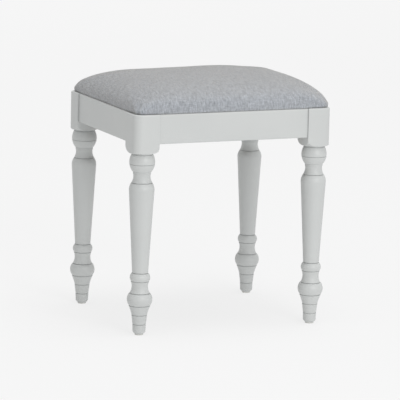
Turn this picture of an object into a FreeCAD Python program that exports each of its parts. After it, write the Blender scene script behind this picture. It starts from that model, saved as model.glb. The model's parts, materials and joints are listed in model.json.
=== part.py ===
import FreeCAD, Part
import math
import os

# Vanity stool with four turned legs, doweled rails and a screwed-down upholstered seat pad.
# Millimetres, Z up, origin on the floor under the middle of the stool, front towards -Y.

# Frame
frame_width = 410.0
frame_depth = 355.0
frame_top = 428.0
block_side = 50.0
block_corner_radius = 16.0
top_edge_radius = 3.0

# Rails between the leg blocks
rail_height = 57.0
rail_thickness = 22.0
rail_setback = 3.0
rail_bottom_radius = 2.0

# Turned foot: heights above the floor and radii
toe_radius = 8.6
toe_chamfer_height = 4.5
foot_radius = 12.4
foot_low_line = 20.7
foot_low_line_radius = 12.9
foot_high_line = 39.0
foot_high_line_radius = 15.0
flare_middle_radius = 17.35
flare_top = 57.4
flare_top_radius = 20.7

# Turned bulb, hollow and ring above the foot
bulb_radius = 24.5
bulb_end_radius = 20.6
bulb_top = 81.4
low_hollow_start_radius = 19.1
low_hollow_radius = 15.7
low_hollow_end_radius = 17.4
low_hollow_top = 104.6
ring_start_radius = 17.5
ring_radius = 19.6
ring_end_radius = 16.3
ring_top = 120.8

# Long taper, given by its radii and by how far its top lies below the frame's top
taper_bottom_radius = 15.4
taper_top_radius = 24.2
taper_top_drop = 150.0
shoulder_middle_radius = 24.0
shoulder_end_radius = 20.4
shoulder_top_drop = 132.6

# Upper hollow, fillet, ball and neck, also measured down from the frame's top
high_hollow_start_radius = 19.6
high_hollow_radius = 16.6
high_hollow_end_radius = 16.9
high_hollow_top_drop = 115.0
fillet_radius = 17.3
fillet_height = 4.0
ball_start_radius = 18.2
ball_radius = 24.5
ball_end_radius = 20.9
ball_top_drop = 78.6
ball_line_drop = 96.6
neck_radius = 20.0
neck_top_drop = 76.0
pommel_radius = 15.6

# Fine V lines cut between the turned members
line_depth = 1.0
line_half_width = 0.7

# Dowels that join the rails to the leg blocks
dowel_radius = 5.0
dowel_length = 40.0
dowel_edge_distance = 15.0
dowel_radial_clearance = 0.1
dowel_end_clearance = 1.0

# Corner braces across the inside of the frame
brace_width = 25.0
brace_thickness = 22.0
brace_drop = 4.0
brace_leg_gap = 2.0
brace_screw_seat = 12.0
brace_screw_bite = 14.0
brace_screw_shank_radius = 2.0
brace_screw_head_radius = 4.0
brace_screw_head_height = 2.4
counterbore_clearance = 0.5

# Screws that hold the pad, with their washers
seat_screw_shank_radius = 2.25
seat_screw_head_radius = 4.5
seat_screw_head_height = 3.0
seat_screw_bite = 6.5
washer_outer_radius = 6.5
washer_thickness = 1.0
screw_hole_clearance = 0.35
pilot_clearance = 0.05
screw_point_length = 4.0

# Seat pad: plan, height above the frame and the curve of its crown
pad_inset = 3.5
pad_corner_radius = 17.0
pad_side_height = 8.5
pad_crown = 48.5
pad_draw_in = 1.0
pad_length_power = 5.3
pad_length_rise_power = 2.0
pad_width_power = 1.9
pad_width_rise_power = 2.7
pad_corner_growth_power = 0.43
pad_corner_fill = 0.9
crown_width_shares = (0.985, 0.95, 0.88, 0.78, 0.66, 0.52, 0.38, 0.24, 0.12)

# Layers of the pad, from outside in
soft_clearance = 0.3
cover_thickness = 1.0
cover_return = 32.0
wadding_thickness = 3.0
board_thickness = 9.0
board_edge_gap = 1.2
dust_cover_thickness = 0.5
dust_cover_rail_gap = 5.0
dust_cover_leg_gap = 3.0

# Nail-on glides under the feet
glide_radius = 8.2
glide_thickness = 2.0
nail_radius = 1.1
nail_head_radius = 4.0
nail_head_height = 0.8
nail_length = 14.0
nail_clearance = 0.05

# Places that follow from the sizes above
leg_x = (frame_width - block_side) / 2
leg_y = (frame_depth - block_side) / 2
block_inner_x = leg_x - block_side / 2
block_inner_y = leg_y - block_side / 2
rail_outer_x = frame_width / 2 - rail_setback
rail_outer_y = frame_depth / 2 - rail_setback
rail_inner_x = rail_outer_x - rail_thickness
rail_inner_y = rail_outer_y - rail_thickness
rail_bottom = frame_top - rail_height
dowel_heights = [rail_bottom + dowel_edge_distance, frame_top - dowel_edge_distance]
brace_top = frame_top - brace_drop
brace_bottom = brace_top - brace_thickness
brace_middle = (brace_top + brace_bottom) / 2
brace_outer_sum = block_inner_x + block_inner_y - brace_leg_gap * math.sqrt(2)
brace_inner_sum = brace_outer_sum - brace_width * math.sqrt(2)
brace_middle_sum = (brace_outer_sum + brace_inner_sum) / 2
brace_end_x = brace_middle_sum - rail_inner_y
brace_end_y = brace_middle_sum - rail_inner_x
seat_screw_x = (rail_inner_x + brace_end_x) / 2
seat_screw_y = (rail_inner_y + brace_end_y) / 2
pad_bottom = frame_top + soft_clearance
pad_side_top = frame_top + pad_side_height
board_bottom = pad_bottom + cover_thickness + soft_clearance
board_top = board_bottom + board_thickness
wadding_offset = cover_thickness + soft_clearance
foam_offset = wadding_offset + wadding_thickness + soft_clearance
board_inset = foam_offset + pad_draw_in + board_edge_gap - soft_clearance
seat_screw_length = board_bottom + seat_screw_bite - brace_bottom + washer_thickness

# How far an edge may lie from where it is looked for
edge_tolerance = 0.01

origin = FreeCAD.Vector(0, 0, 0)
x_axis = FreeCAD.Vector(1, 0, 0)
y_axis = FreeCAD.Vector(0, 1, 0)
z_axis = FreeCAD.Vector(0, 0, 1)

# Signs of X and Y at each corner of the stool
corners = {
    "front_left": (-1, -1),
    "front_right": (1, -1),
    "back_left": (-1, 1),
    "back_right": (1, 1),
}


def box(low, high):
    size = [high[axis] - low[axis] for axis in range(3)]
    return Part.makeBox(size[0], size[1], size[2], FreeCAD.Vector(*low))


def edges_within(shape, low, high):
    found = []
    for edge in shape.Edges:
        bounds = edge.BoundBox
        lowest = (bounds.XMin, bounds.YMin, bounds.ZMin)
        highest = (bounds.XMax, bounds.YMax, bounds.ZMax)
        above = all(lowest[axis] > low[axis] - edge_tolerance for axis in range(3))
        below = all(highest[axis] < high[axis] + edge_tolerance for axis in range(3))
        if above and below:
            found.append(edge)
    return found


def cylinder(radius, start, direction, length):
    return Part.makeCylinder(radius, length, start, direction)


def at_corner(shape, signs):
    # Shapes for the corners are made at the back right one, where X and Y are positive
    placed = shape.copy()
    if signs[0] < 0:
        placed = placed.mirror(origin, x_axis)
    if signs[1] < 0:
        placed = placed.mirror(origin, y_axis)
    return placed


def at_all_corners(shape):
    return [at_corner(shape, signs) for signs in corners.values()]


def profile_point(radius, height):
    return FreeCAD.Vector(radius, 0, height)


def turned_solid(start, steps):
    # A step holds one point for a straight run, or a middle and an end point for an arc
    edges = []
    here = start
    for step in steps:
        end = step[-1]
        if len(step) == 2:
            edges.append(Part.Arc(here, step[0], end).toShape())
        else:
            edges.append(Part.LineSegment(here, end).toShape())
        here = end
    edges.append(Part.LineSegment(here, start).toShape())
    return Part.Face(Part.Wire(edges)).revolve(origin, z_axis, 360)


def rounded_outline(half_x, half_y, radius, height):
    # Four straight sides and four quarter arcs, anticlockwise from the +X side
    inner_x = half_x - radius
    inner_y = half_y - radius
    edges = []
    for turn in range(4):
        middle_x = inner_x if turn in (0, 3) else -inner_x
        middle_y = inner_y if turn in (0, 1) else -inner_y
        middle = FreeCAD.Vector(middle_x, middle_y, height)
        points = []
        for part in range(3):
            angle = math.radians(90 * turn + 45 * part)
            points.append(middle + FreeCAD.Vector(math.cos(angle), math.sin(angle), 0) * radius)
        if edges:
            edges.append(Part.LineSegment(last_point, points[0]).toShape())
        else:
            first_point = points[0]
        edges.append(Part.Arc(*points).toShape())
        last_point = points[2]
    edges.append(Part.LineSegment(last_point, first_point).toShape())
    return Part.Wire(edges)


def rounded_plate(half_x, half_y, radius, bottom, thickness):
    return Part.Face(rounded_outline(half_x, half_y, radius, bottom)).extrude(z_axis * thickness)


# Leg: a turned post inside a square block, cut from one piece of wood
def leg_profile():
    foot_end = glide_thickness
    high_hollow_start = frame_top - shoulder_top_drop + line_half_width
    high_hollow_top = frame_top - high_hollow_top_drop
    ball_start = high_hollow_top + fillet_height
    ball_top = frame_top - ball_top_drop
    neck_top = frame_top - neck_top_drop

    def line_cut(radius_below, height, radius_above):
        # A V, cut into the smaller of the two radii that meet there
        bottom = min(radius_below, radius_above) - line_depth
        return [[profile_point(bottom, height)], [profile_point(radius_above, height + line_half_width)]]

    def straight(radius, line_height):
        # A straight run up to the lower lip of the next line
        return [[profile_point(radius, line_height - line_half_width)]]

    def bow(low, radius, high, end_radius):
        # An arc that reaches the given radius halfway up
        return [[profile_point(radius, (low + high) / 2), profile_point(end_radius, high)]]

    steps = [[profile_point(toe_radius, foot_end)]]
    steps += [[profile_point(foot_radius, foot_end + toe_chamfer_height)]]
    steps += straight(foot_low_line_radius, foot_low_line)
    steps += line_cut(foot_low_line_radius, foot_low_line, foot_low_line_radius)
    steps += straight(foot_high_line_radius, foot_high_line)
    steps += line_cut(foot_high_line_radius, foot_high_line, foot_high_line_radius)
    flare_low = foot_high_line + line_half_width
    flare_high = flare_top - line_half_width
    steps += bow(flare_low, flare_middle_radius, flare_high, flare_top_radius)
    steps += line_cut(flare_top_radius, flare_top, bulb_end_radius)
    bulb_high = bulb_top - line_half_width
    steps += bow(flare_top + line_half_width, bulb_radius, bulb_high, bulb_end_radius)
    steps += line_cut(bulb_end_radius, bulb_top, low_hollow_start_radius)
    hollow_high = low_hollow_top - line_half_width
    steps += bow(bulb_top + line_half_width, low_hollow_radius, hollow_high, low_hollow_end_radius)
    steps += line_cut(low_hollow_end_radius, low_hollow_top, ring_start_radius)
    ring_high = ring_top - line_half_width
    steps += bow(low_hollow_top + line_half_width, ring_radius, ring_high, ring_end_radius)
    steps += line_cut(ring_end_radius, ring_top, taper_bottom_radius)
    taper_top = frame_top - taper_top_drop
    shoulder_high = frame_top - shoulder_top_drop - line_half_width
    steps += [[profile_point(taper_top_radius, taper_top)]]
    steps += bow(taper_top, shoulder_middle_radius, shoulder_high, shoulder_end_radius)
    steps += line_cut(shoulder_end_radius, frame_top - shoulder_top_drop, high_hollow_start_radius)
    steps += bow(high_hollow_start, high_hollow_radius, high_hollow_top, high_hollow_end_radius)
    steps += [[profile_point(fillet_radius, high_hollow_top)]]
    steps += [[profile_point(fillet_radius, ball_start)]]
    steps += [[profile_point(ball_start_radius, ball_start)]]
    steps += bow(ball_start, ball_radius, ball_top, ball_end_radius)
    steps += [[profile_point(neck_radius, ball_top)]]
    steps += [[profile_point(neck_radius, neck_top)]]

    # The pommel shoulder is a quarter round that runs up into the square block
    pommel_reach = pommel_radius * math.sin(math.radians(45))
    pommel_middle = profile_point(neck_radius + pommel_reach, neck_top + pommel_radius - pommel_reach)
    pommel_end = profile_point(neck_radius + pommel_radius, neck_top + pommel_radius)
    steps += [[pommel_middle, pommel_end]]
    steps += [[profile_point(neck_radius + pommel_radius, frame_top)]]
    steps += [[profile_point(0, frame_top)]]
    return steps


def ball_line():
    # A single V line scored round the ball, below its widest place
    height = frame_top - ball_line_drop
    tip = profile_point(ball_radius - line_depth, height)
    steps = [[profile_point(ball_radius + line_depth, height - 2 * line_half_width)]]
    steps += [[profile_point(ball_radius + line_depth, height + 2 * line_half_width)]]
    return turned_solid(tip, steps)


def leg_block():
    # Square blank: outer corner rounded, then its top outer edges rolled over
    outer_x = leg_x + block_side / 2
    outer_y = leg_y + block_side / 2
    blank = box((block_inner_x, block_inner_y, 0), (outer_x, outer_y, frame_top))
    corner = (outer_x, outer_y, frame_top)
    corner_edge = edges_within(blank, (outer_x, outer_y, 0), corner)
    blank = blank.makeFillet(block_corner_radius, corner_edge)
    arc_start = (outer_x - block_corner_radius, outer_y - block_corner_radius, frame_top)
    rolled_edges = edges_within(blank, arc_start, corner)
    rolled_edges += edges_within(blank, (outer_x, block_inner_y, frame_top), corner)
    rolled_edges += edges_within(blank, (block_inner_x, outer_y, frame_top), corner)
    return blank.makeFillet(top_edge_radius, rolled_edges)


def dowel_axes():
    # Start point and direction of each dowel at the back right corner, on the rails' centre planes
    rail_middle_x = rail_outer_x - rail_thickness / 2
    rail_middle_y = rail_outer_y - rail_thickness / 2
    axes = []
    for height in dowel_heights:
        start_x = block_inner_x - dowel_length / 2
        start_y = block_inner_y - dowel_length / 2
        axes.append((FreeCAD.Vector(start_x, rail_middle_y, height), x_axis))
        axes.append((FreeCAD.Vector(rail_middle_x, start_y, height), y_axis))
    return axes


def dowel_holes():
    holes = []
    for start, direction in dowel_axes():
        radius = dowel_radius + dowel_radial_clearance
        length = dowel_length + 2 * dowel_end_clearance
        holes.append(cylinder(radius, start - direction * dowel_end_clearance, direction, length))
    return holes


def dowels():
    shapes = []
    for start, direction in dowel_axes():
        shapes += at_all_corners(cylinder(dowel_radius, start, direction, dowel_length))
    return shapes


def glide_nail(clearance):
    head = cylinder(nail_head_radius + clearance, z_axis * nail_head_height, z_axis, nail_head_height)
    shank = cylinder(nail_radius + clearance, z_axis * nail_head_height, z_axis, nail_length + clearance)
    nail = head.fuse(shank).removeSplitter()
    nail.translate(FreeCAD.Vector(leg_x, leg_y, 0))
    return nail


def leg():
    turned = turned_solid(profile_point(0, glide_thickness), leg_profile())
    turned = turned.cut(ball_line())
    turned.translate(FreeCAD.Vector(leg_x, leg_y, 0))
    shape = turned.common(leg_block())
    return shape.cut(dowel_holes() + [glide_nail(nail_clearance)])


def foot_glide():
    disc = cylinder(glide_radius, FreeCAD.Vector(leg_x, leg_y, 0), z_axis, glide_thickness)
    return disc.cut(glide_nail(nail_clearance))


# Rails, with their outer top edge rolled over like the leg blocks
def rail(low, high, outer_axis):
    blank = box(low, high)
    outer_face_low = list(low)
    outer_face_low[outer_axis] = high[outer_axis]
    bottom_edge = edges_within(blank, outer_face_low, (high[0], high[1], low[2]))
    blank = blank.makeFillet(rail_bottom_radius, bottom_edge)
    top_edge = edges_within(blank, (outer_face_low[0], outer_face_low[1], high[2]), high)
    return blank.makeFillet(top_edge_radius, top_edge)


def rail_holes():
    return at_all_corners(Part.makeCompound(dowel_holes() + brace_screw_pilots()))


def back_rail():
    low = (-block_inner_x, rail_inner_y, rail_bottom)
    high = (block_inner_x, rail_outer_y, frame_top)
    return rail(low, high, 1).cut(rail_holes())


def right_rail():
    low = (rail_inner_x, -block_inner_y, rail_bottom)
    high = (rail_outer_x, block_inner_y, frame_top)
    return rail(low, high, 0).cut(rail_holes())


# Screws, made with the seat of the head at the origin and the point up
def pan_screw(head_radius, head_height, shank_radius, length):
    shoulder = length - screw_point_length
    dome = profile_point(head_radius * 0.75, -head_height * 0.8)
    steps = [[dome, profile_point(head_radius, 0)]]
    steps += [[profile_point(shank_radius, 0)]]
    steps += [[profile_point(shank_radius, shoulder)]]
    steps += [[profile_point(0, length)]]
    return turned_solid(profile_point(0, -head_height), steps)


def brace_screw_places():
    # Seat of the head and direction of the two screws of the back right brace
    to_side = FreeCAD.Vector(rail_inner_x - brace_screw_seat, brace_end_y, brace_middle)
    to_back = FreeCAD.Vector(brace_end_x, rail_inner_y - brace_screw_seat, brace_middle)
    return [(to_side, x_axis), (to_back, y_axis)]


def brace_screw():
    length = brace_screw_seat + brace_screw_bite
    shank = brace_screw_shank_radius
    return pan_screw(brace_screw_head_radius, brace_screw_head_height, shank, length)


def brace_screws():
    shapes = []
    for seat, direction in brace_screw_places():
        screw = brace_screw()
        screw.Placement = FreeCAD.Placement(seat, FreeCAD.Rotation(z_axis, direction))
        shapes += at_all_corners(screw)
    return shapes


def brace_screw_pilots():
    radius = brace_screw_shank_radius + pilot_clearance
    length = brace_screw_seat + brace_screw_bite + pilot_clearance
    return [cylinder(radius, seat, direction, length) for seat, direction in brace_screw_places()]


def seat_screw():
    shank = seat_screw_shank_radius
    screw = pan_screw(seat_screw_head_radius, seat_screw_head_height, shank, seat_screw_length)
    screw.translate(FreeCAD.Vector(seat_screw_x, seat_screw_y, brace_bottom - washer_thickness))
    return screw


def seat_screw_hole(bottom, length, clearance):
    start = FreeCAD.Vector(seat_screw_x, seat_screw_y, bottom)
    return cylinder(seat_screw_shank_radius + clearance, start, z_axis, length)


def washer():
    start = FreeCAD.Vector(seat_screw_x, seat_screw_y, brace_bottom - washer_thickness)
    ring = cylinder(washer_outer_radius, start, z_axis, washer_thickness)
    return ring.cut(seat_screw_hole(start.z, washer_thickness, screw_hole_clearance))


# Corner brace: a mitred bar across the corner, clear of the leg block
def corner_brace():
    plan = [
        (rail_inner_x, brace_outer_sum - rail_inner_x),
        (brace_outer_sum - rail_inner_y, rail_inner_y),
        (brace_inner_sum - rail_inner_y, rail_inner_y),
        (rail_inner_x, brace_inner_sum - rail_inner_x),
    ]
    points = [FreeCAD.Vector(x, y, brace_bottom) for x, y in plan]
    bar = Part.Face(Part.makePolygon(points + points[:1])).extrude(z_axis * brace_thickness)
    cuts = [seat_screw_hole(brace_bottom, brace_thickness, screw_hole_clearance)]
    shank_hole_radius = brace_screw_shank_radius + pilot_clearance
    head_hole_radius = brace_screw_head_radius + counterbore_clearance
    for seat, direction in brace_screw_places():
        cuts.append(cylinder(shank_hole_radius, seat, direction, brace_screw_seat))
        cuts.append(cylinder(head_hole_radius, seat, direction * -1, brace_width))
    return bar.cut(cuts)


# Seat pad: every layer has the same crowned form, drawn in by its own offset
def pad_section(offset, share):
    # Outline of the pad where it has risen by a share of its crown
    half_length = frame_width / 2 - pad_inset - offset
    half_width = frame_depth / 2 - pad_inset - offset
    length_share = (1 - share ** pad_length_rise_power) ** (1 / pad_length_power)
    width_share = (1 - share ** pad_width_rise_power) ** (1 / pad_width_power)
    half_x = half_length * length_share
    half_y = half_width * width_share
    base_radius = pad_corner_radius - offset
    full_radius = pad_corner_fill * min(half_x, half_y)
    growth = (1 - min(length_share, width_share)) ** pad_corner_growth_power
    radius = base_radius + (full_radius - base_radius) * growth
    return half_x, half_y, radius


def share_at_width(width_share):
    return (1 - width_share ** pad_width_power) ** (1 / pad_width_rise_power)


def pad_outlines(offset, bottom):
    # Sides drawn in towards the bottom, then a soft roll up to an almost flat top
    outlines = []
    crown_shares = [share_at_width(width) for width in crown_width_shares]
    rise = (pad_crown - offset) / crown_shares[-1]
    first_share = max(0, (bottom - pad_side_top) / rise)
    if bottom < pad_side_top:
        half_x, half_y, radius = pad_section(offset, 0)
        for draw_share, rise_share in ((1.0, 0.0), (0.3, 0.4)):
            inset = pad_draw_in * draw_share
            height = bottom + (pad_side_top - bottom) * rise_share
            outlines.append(rounded_outline(half_x - inset, half_y - inset, radius - inset, height))
    later_shares = [share for share in crown_shares if share > first_share + 0.04]
    for share in [first_share] + later_shares:
        half_x, half_y, radius = pad_section(offset, share)
        outlines.append(rounded_outline(half_x, half_y, radius, pad_side_top + rise * share))
    return outlines


def pad_skin(outlines):
    # Sides and top of one layer, open underneath
    return Part.makeLoft(outlines, False, False, False, 3).Faces + [Part.Face(outlines[-1])]


def flat_ring(outer, inner):
    return Part.makeFace([outer, inner], "Part::FaceMakerBullseye")


def closed_solid(faces):
    shell = Part.makeShell(faces)
    shell.sewShape()
    solid = Part.makeSolid(shell)
    if solid.Volume < 0:
        solid.reverse()
    return solid


def seat_cover():
    # Fabric over the whole pad, turned under the board as a flat return with an open middle
    outer = pad_outlines(0, pad_bottom)
    inner = pad_outlines(cover_thickness, pad_bottom + cover_thickness)
    half_x = frame_width / 2 - pad_inset - cover_return
    half_y = frame_depth / 2 - pad_inset - cover_return
    corner_points = [(half_x, -half_y), (half_x, half_y), (-half_x, half_y), (-half_x, -half_y)]
    points = [FreeCAD.Vector(x, y, pad_bottom) for x, y in corner_points]
    window = Part.makePolygon(points + points[:1])
    walls = window.extrude(z_axis * cover_thickness).Faces
    raised_window = window.translated(z_axis * cover_thickness)
    under = flat_ring(outer[0], window)
    inside = flat_ring(inner[0], raised_window)
    return closed_solid(pad_skin(outer) + pad_skin(inner) + walls + [under, inside])


def seat_wadding():
    outer = pad_outlines(wadding_offset, board_bottom)
    inner = pad_outlines(wadding_offset + wadding_thickness, board_bottom)
    lower_edge = flat_ring(outer[0], inner[0])
    return closed_solid(pad_skin(outer) + pad_skin(inner) + [lower_edge])


def seat_foam():
    outlines = pad_outlines(foam_offset, board_top)
    return closed_solid(pad_skin(outlines) + [Part.Face(outlines[0])])


def seat_board():
    half_x = frame_width / 2 - pad_inset - board_inset
    half_y = frame_depth / 2 - pad_inset - board_inset
    radius = pad_corner_radius - board_inset
    plate = rounded_plate(half_x, half_y, radius, board_bottom, board_thickness)
    pilot = seat_screw_hole(board_bottom, seat_screw_bite + pilot_clearance, pilot_clearance)
    return plate.cut(at_all_corners(pilot))


def dust_cover():
    # A thin sheet under the pad, cut off at the corners to clear the leg blocks
    half_x = rail_inner_x - dust_cover_rail_gap
    half_y = rail_inner_y - dust_cover_rail_gap
    corner_sum = block_inner_x + block_inner_y - dust_cover_leg_gap * math.sqrt(2)
    cut_x = corner_sum - half_y
    cut_y = corner_sum - half_x
    bottom = pad_bottom - soft_clearance - dust_cover_thickness
    plan = [
        (half_x, -cut_y), (half_x, cut_y), (cut_x, half_y), (-cut_x, half_y),
        (-half_x, cut_y), (-half_x, -cut_y), (-cut_x, -half_y), (cut_x, -half_y),
    ]
    points = [FreeCAD.Vector(x, y, bottom) for x, y in plan]
    sheet = Part.Face(Part.makePolygon(points + points[:1])).extrude(z_axis * dust_cover_thickness)
    hole = seat_screw_hole(bottom, dust_cover_thickness, screw_hole_clearance)
    return sheet.cut(at_all_corners(hole))


def export(name, shapes):
    shape = shapes[0] if len(shapes) == 1 else Part.makeCompound(shapes)
    shape.exportStep(os.path.join("parts", name + ".step"))
    print(name, len(shape.Solids), round(shape.Volume / 1000, 2), shape.isValid())


os.makedirs("parts", exist_ok=True)
corner_leg = leg()
corner_glide = foot_glide()
corner_bar = corner_brace()
for corner, signs in corners.items():
    export("leg_" + corner, [at_corner(corner_leg, signs)])
    export("foot_glide_" + corner, [at_corner(corner_glide, signs)])
    export("corner_brace_" + corner, [at_corner(corner_bar, signs)])
back = back_rail()
right = right_rail()
export("rail_back", [back])
export("rail_front", [back.mirror(origin, y_axis)])
export("rail_right", [right])
export("rail_left", [right.mirror(origin, x_axis)])
export("rail_dowels", dowels())
export("brace_screws", brace_screws())
export("seat_screws", at_all_corners(seat_screw()))
export("seat_screw_washers", at_all_corners(washer()))
export("glide_nails", at_all_corners(glide_nail(0)))
export("seat_board", [seat_board()])
export("seat_foam", [seat_foam()])
export("seat_wadding", [seat_wadding()])
export("seat_cover", [seat_cover()])
export("dust_cover", [dust_cover()])
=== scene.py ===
import json
import math
import bpy
import numpy as np
from mathutils import Matrix, Vector, noise


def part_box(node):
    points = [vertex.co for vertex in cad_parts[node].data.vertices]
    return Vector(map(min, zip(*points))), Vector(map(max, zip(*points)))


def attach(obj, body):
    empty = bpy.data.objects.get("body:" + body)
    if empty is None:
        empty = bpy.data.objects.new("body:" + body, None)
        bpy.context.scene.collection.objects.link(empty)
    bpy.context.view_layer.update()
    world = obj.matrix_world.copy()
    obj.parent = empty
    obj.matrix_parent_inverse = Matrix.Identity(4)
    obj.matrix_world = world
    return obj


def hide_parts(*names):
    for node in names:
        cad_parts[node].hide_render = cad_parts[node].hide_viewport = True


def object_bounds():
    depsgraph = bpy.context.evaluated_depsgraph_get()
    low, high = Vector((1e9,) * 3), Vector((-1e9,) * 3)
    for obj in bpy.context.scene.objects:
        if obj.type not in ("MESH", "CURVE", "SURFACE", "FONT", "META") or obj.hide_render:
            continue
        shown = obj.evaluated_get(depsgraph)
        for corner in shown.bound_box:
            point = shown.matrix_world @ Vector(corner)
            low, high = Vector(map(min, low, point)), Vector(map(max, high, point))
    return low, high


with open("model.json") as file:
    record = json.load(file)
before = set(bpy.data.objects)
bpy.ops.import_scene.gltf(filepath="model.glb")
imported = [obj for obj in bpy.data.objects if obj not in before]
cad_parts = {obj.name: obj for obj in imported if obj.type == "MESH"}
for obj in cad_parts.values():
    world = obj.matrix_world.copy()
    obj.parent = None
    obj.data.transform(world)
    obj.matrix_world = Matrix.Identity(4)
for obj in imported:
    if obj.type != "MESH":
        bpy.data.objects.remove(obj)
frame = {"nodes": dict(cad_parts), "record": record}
cadLow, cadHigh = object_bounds()
millimetre = 0.001


# small helpers for working as in the viewport
def objectMode():
    if bpy.context.object and bpy.context.object.mode != "OBJECT":
        bpy.ops.object.mode_set(mode="OBJECT")


def deselect():
    objectMode()
    bpy.ops.object.select_all(action="DESELECT")


def makeActive(obj):
    deselect()
    obj.select_set(True)
    bpy.context.view_layer.objects.active = obj


def named(name):
    # the primitive that was just added, with its place put into its mesh
    obj = bpy.context.object
    obj.name = name
    obj.data.name = name
    bpy.ops.object.transform_apply(location=True, rotation=True, scale=True)
    return obj


def clearSelection(mesh):
    for items in (mesh.vertices, mesh.edges, mesh.polygons):
        items.foreach_set("select", [False] * len(items))


def selectFaces(obj, test):
    objectMode()
    clearSelection(obj.data)
    for face in obj.data.polygons:
        face.select = test(face.center, face.normal)
    bpy.ops.object.mode_set(mode="EDIT")
    bpy.ops.mesh.select_mode(type="FACE")


def applyModifiers(obj):
    makeActive(obj)
    for modifier in list(obj.modifiers):
        bpy.ops.object.modifier_apply(modifier=modifier.name)


def smooth(obj, degrees):
    makeActive(obj)
    bpy.ops.object.shade_smooth_by_angle(angle=math.radians(degrees))


def copyAt(source, name, matrix):
    # a copy with its own mesh, placed in the mesh
    twin = source.copy()
    twin.data = source.data.copy()
    twin.name = twin.data.name = name
    twin.data.transform(matrix)
    if matrix.determinant() < 0:
        twin.data.flip_normals()
    bpy.context.collection.objects.link(twin)
    return twin


def joined(objs, name):
    deselect()
    for obj in objs:
        obj.select_set(True)
    bpy.context.view_layer.objects.active = objs[0]
    if len(objs) > 1:
        bpy.ops.object.join()
    objs[0].name = objs[0].data.name = name
    return objs[0]


def readPoints(mesh):
    points = np.empty(len(mesh.vertices) * 3)
    mesh.vertices.foreach_get("co", points)
    return points.reshape(-1, 3)


def writePoints(mesh, points):
    mesh.vertices.foreach_set("co", points.astype(float).ravel())
    mesh.update()


# material helpers: an input is a number, a colour or the socket that feeds it
def addNode(tree, kind, inputs=None, **settings):
    made = tree.nodes.new(kind)
    for key, value in settings.items():
        setattr(made, key, value)
    for key, value in (inputs or {}).items():
        if isinstance(value, bpy.types.NodeSocket):
            tree.links.new(value, made.inputs[key])
        else:
            made.inputs[key].default_value = value
    return made


def calc(tree, operation, a, b=0.0):
    return addNode(tree, "ShaderNodeMath", {0: a, 1: b}, operation=operation).outputs[0]


def blendColours(tree, factor, first, second):
    mixer = addNode(tree, "ShaderNodeMix", {"Factor": factor}, data_type="RGBA")
    for socket, value in ((mixer.inputs[6], first), (mixer.inputs[7], second)):
        if isinstance(value, bpy.types.NodeSocket):
            tree.links.new(value, socket)
        else:
            socket.default_value = (*value, 1)
    return mixer.outputs[2]


def ramp(tree, factor, low, high):
    # stretches a noise between two levels to 0 and 1
    inputs = {"Value": factor, "From Min": low, "From Max": high}
    return addNode(tree, "ShaderNodeMapRange", inputs, clamp=True).outputs[0]


def noiseAt(tree, coords, scale, detail=2.0, roughness=0.5):
    inputs = {"Vector": coords, "Scale": scale, "Detail": detail, "Roughness": roughness}
    return addNode(tree, "ShaderNodeTexNoise", inputs).outputs[0]


def stretched(tree, coords, scale):
    return addNode(tree, "ShaderNodeMapping", {"Vector": coords, "Scale": scale}).outputs[0]


def newMaterial(name):
    material = bpy.data.materials.new(name)
    material.use_nodes = True
    tree = material.node_tree
    shader = tree.nodes["Principled BSDF"]
    coords = addNode(tree, "ShaderNodeTexCoord")
    return material, tree, shader, coords


def addBump(tree, shader, height, distance, strength=1.0):
    inputs = {"Height": height, "Distance": distance, "Strength": strength}
    bump = addNode(tree, "ShaderNodeBump", inputs)
    tree.links.new(bump.outputs[0], shader.inputs["Normal"])


def summed(tree, *parts):
    # adds up patterns, each times its share
    total = None
    for pattern, share in parts:
        scaled = calc(tree, "MULTIPLY", pattern, share)
        total = scaled if total is None else calc(tree, "ADD", total, scaled)
    return total


def varyRoughness(tree, shader, pattern, look):
    # glossier and duller in patches
    rough = addNode(tree, "ShaderNodeMapRange", {
        "Value": pattern,
        "To Min": look["roughness"] - look["glossier"],
        "To Max": look["roughness"] + look["duller"]})
    tree.links.new(rough.outputs[0], shader.inputs["Roughness"])


paintedShadeSamples = 8     # rays that look for a surface nearby


def paintedCreaseShade(tree, colour, look):
    # painted shade: the colour is darkened in grooves, joints and folds, where nearby surfaces
    # block the light
    reach = {"Distance": look["paintedShadeReach"]}
    nearby = addNode(tree, "ShaderNodeAmbientOcclusion", reach, samples=paintedShadeSamples)
    hidden = calc(tree, "SUBTRACT", 1.0, nearby.outputs["AO"])
    paintedShadeShare = calc(tree, "MULTIPLY", hidden, look["paintedShadeStrength"])
    return blendColours(tree, paintedShadeShare, colour, look["paintedShadeColour"])


# satin paint on the legs and rails
paint = {
    "colour": (0.625, 0.640, 0.632),
    "deeperColour": (0.600, 0.616, 0.610),
    "cloudScale": 7.0,
    "cloudRange": (0.35, 0.65),
    "roughness": 0.42,
    "glossier": 0.05,
    "duller": 0.06,
    "glossScale": 60.0,
    "peelScale": 520.0,
    "peelDepth": 0.00012,
    "grainStretch": (300, 300, 14),
    "grainShare": 0.8,
    "specular": 0.45,
    "paintedShadeReach": 3.0 * millimetre,     # painted shade in the turned lines and open joints
    "paintedShadeStrength": 0.55,
    "paintedShadeColour": (0.16, 0.17, 0.17),
}


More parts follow.
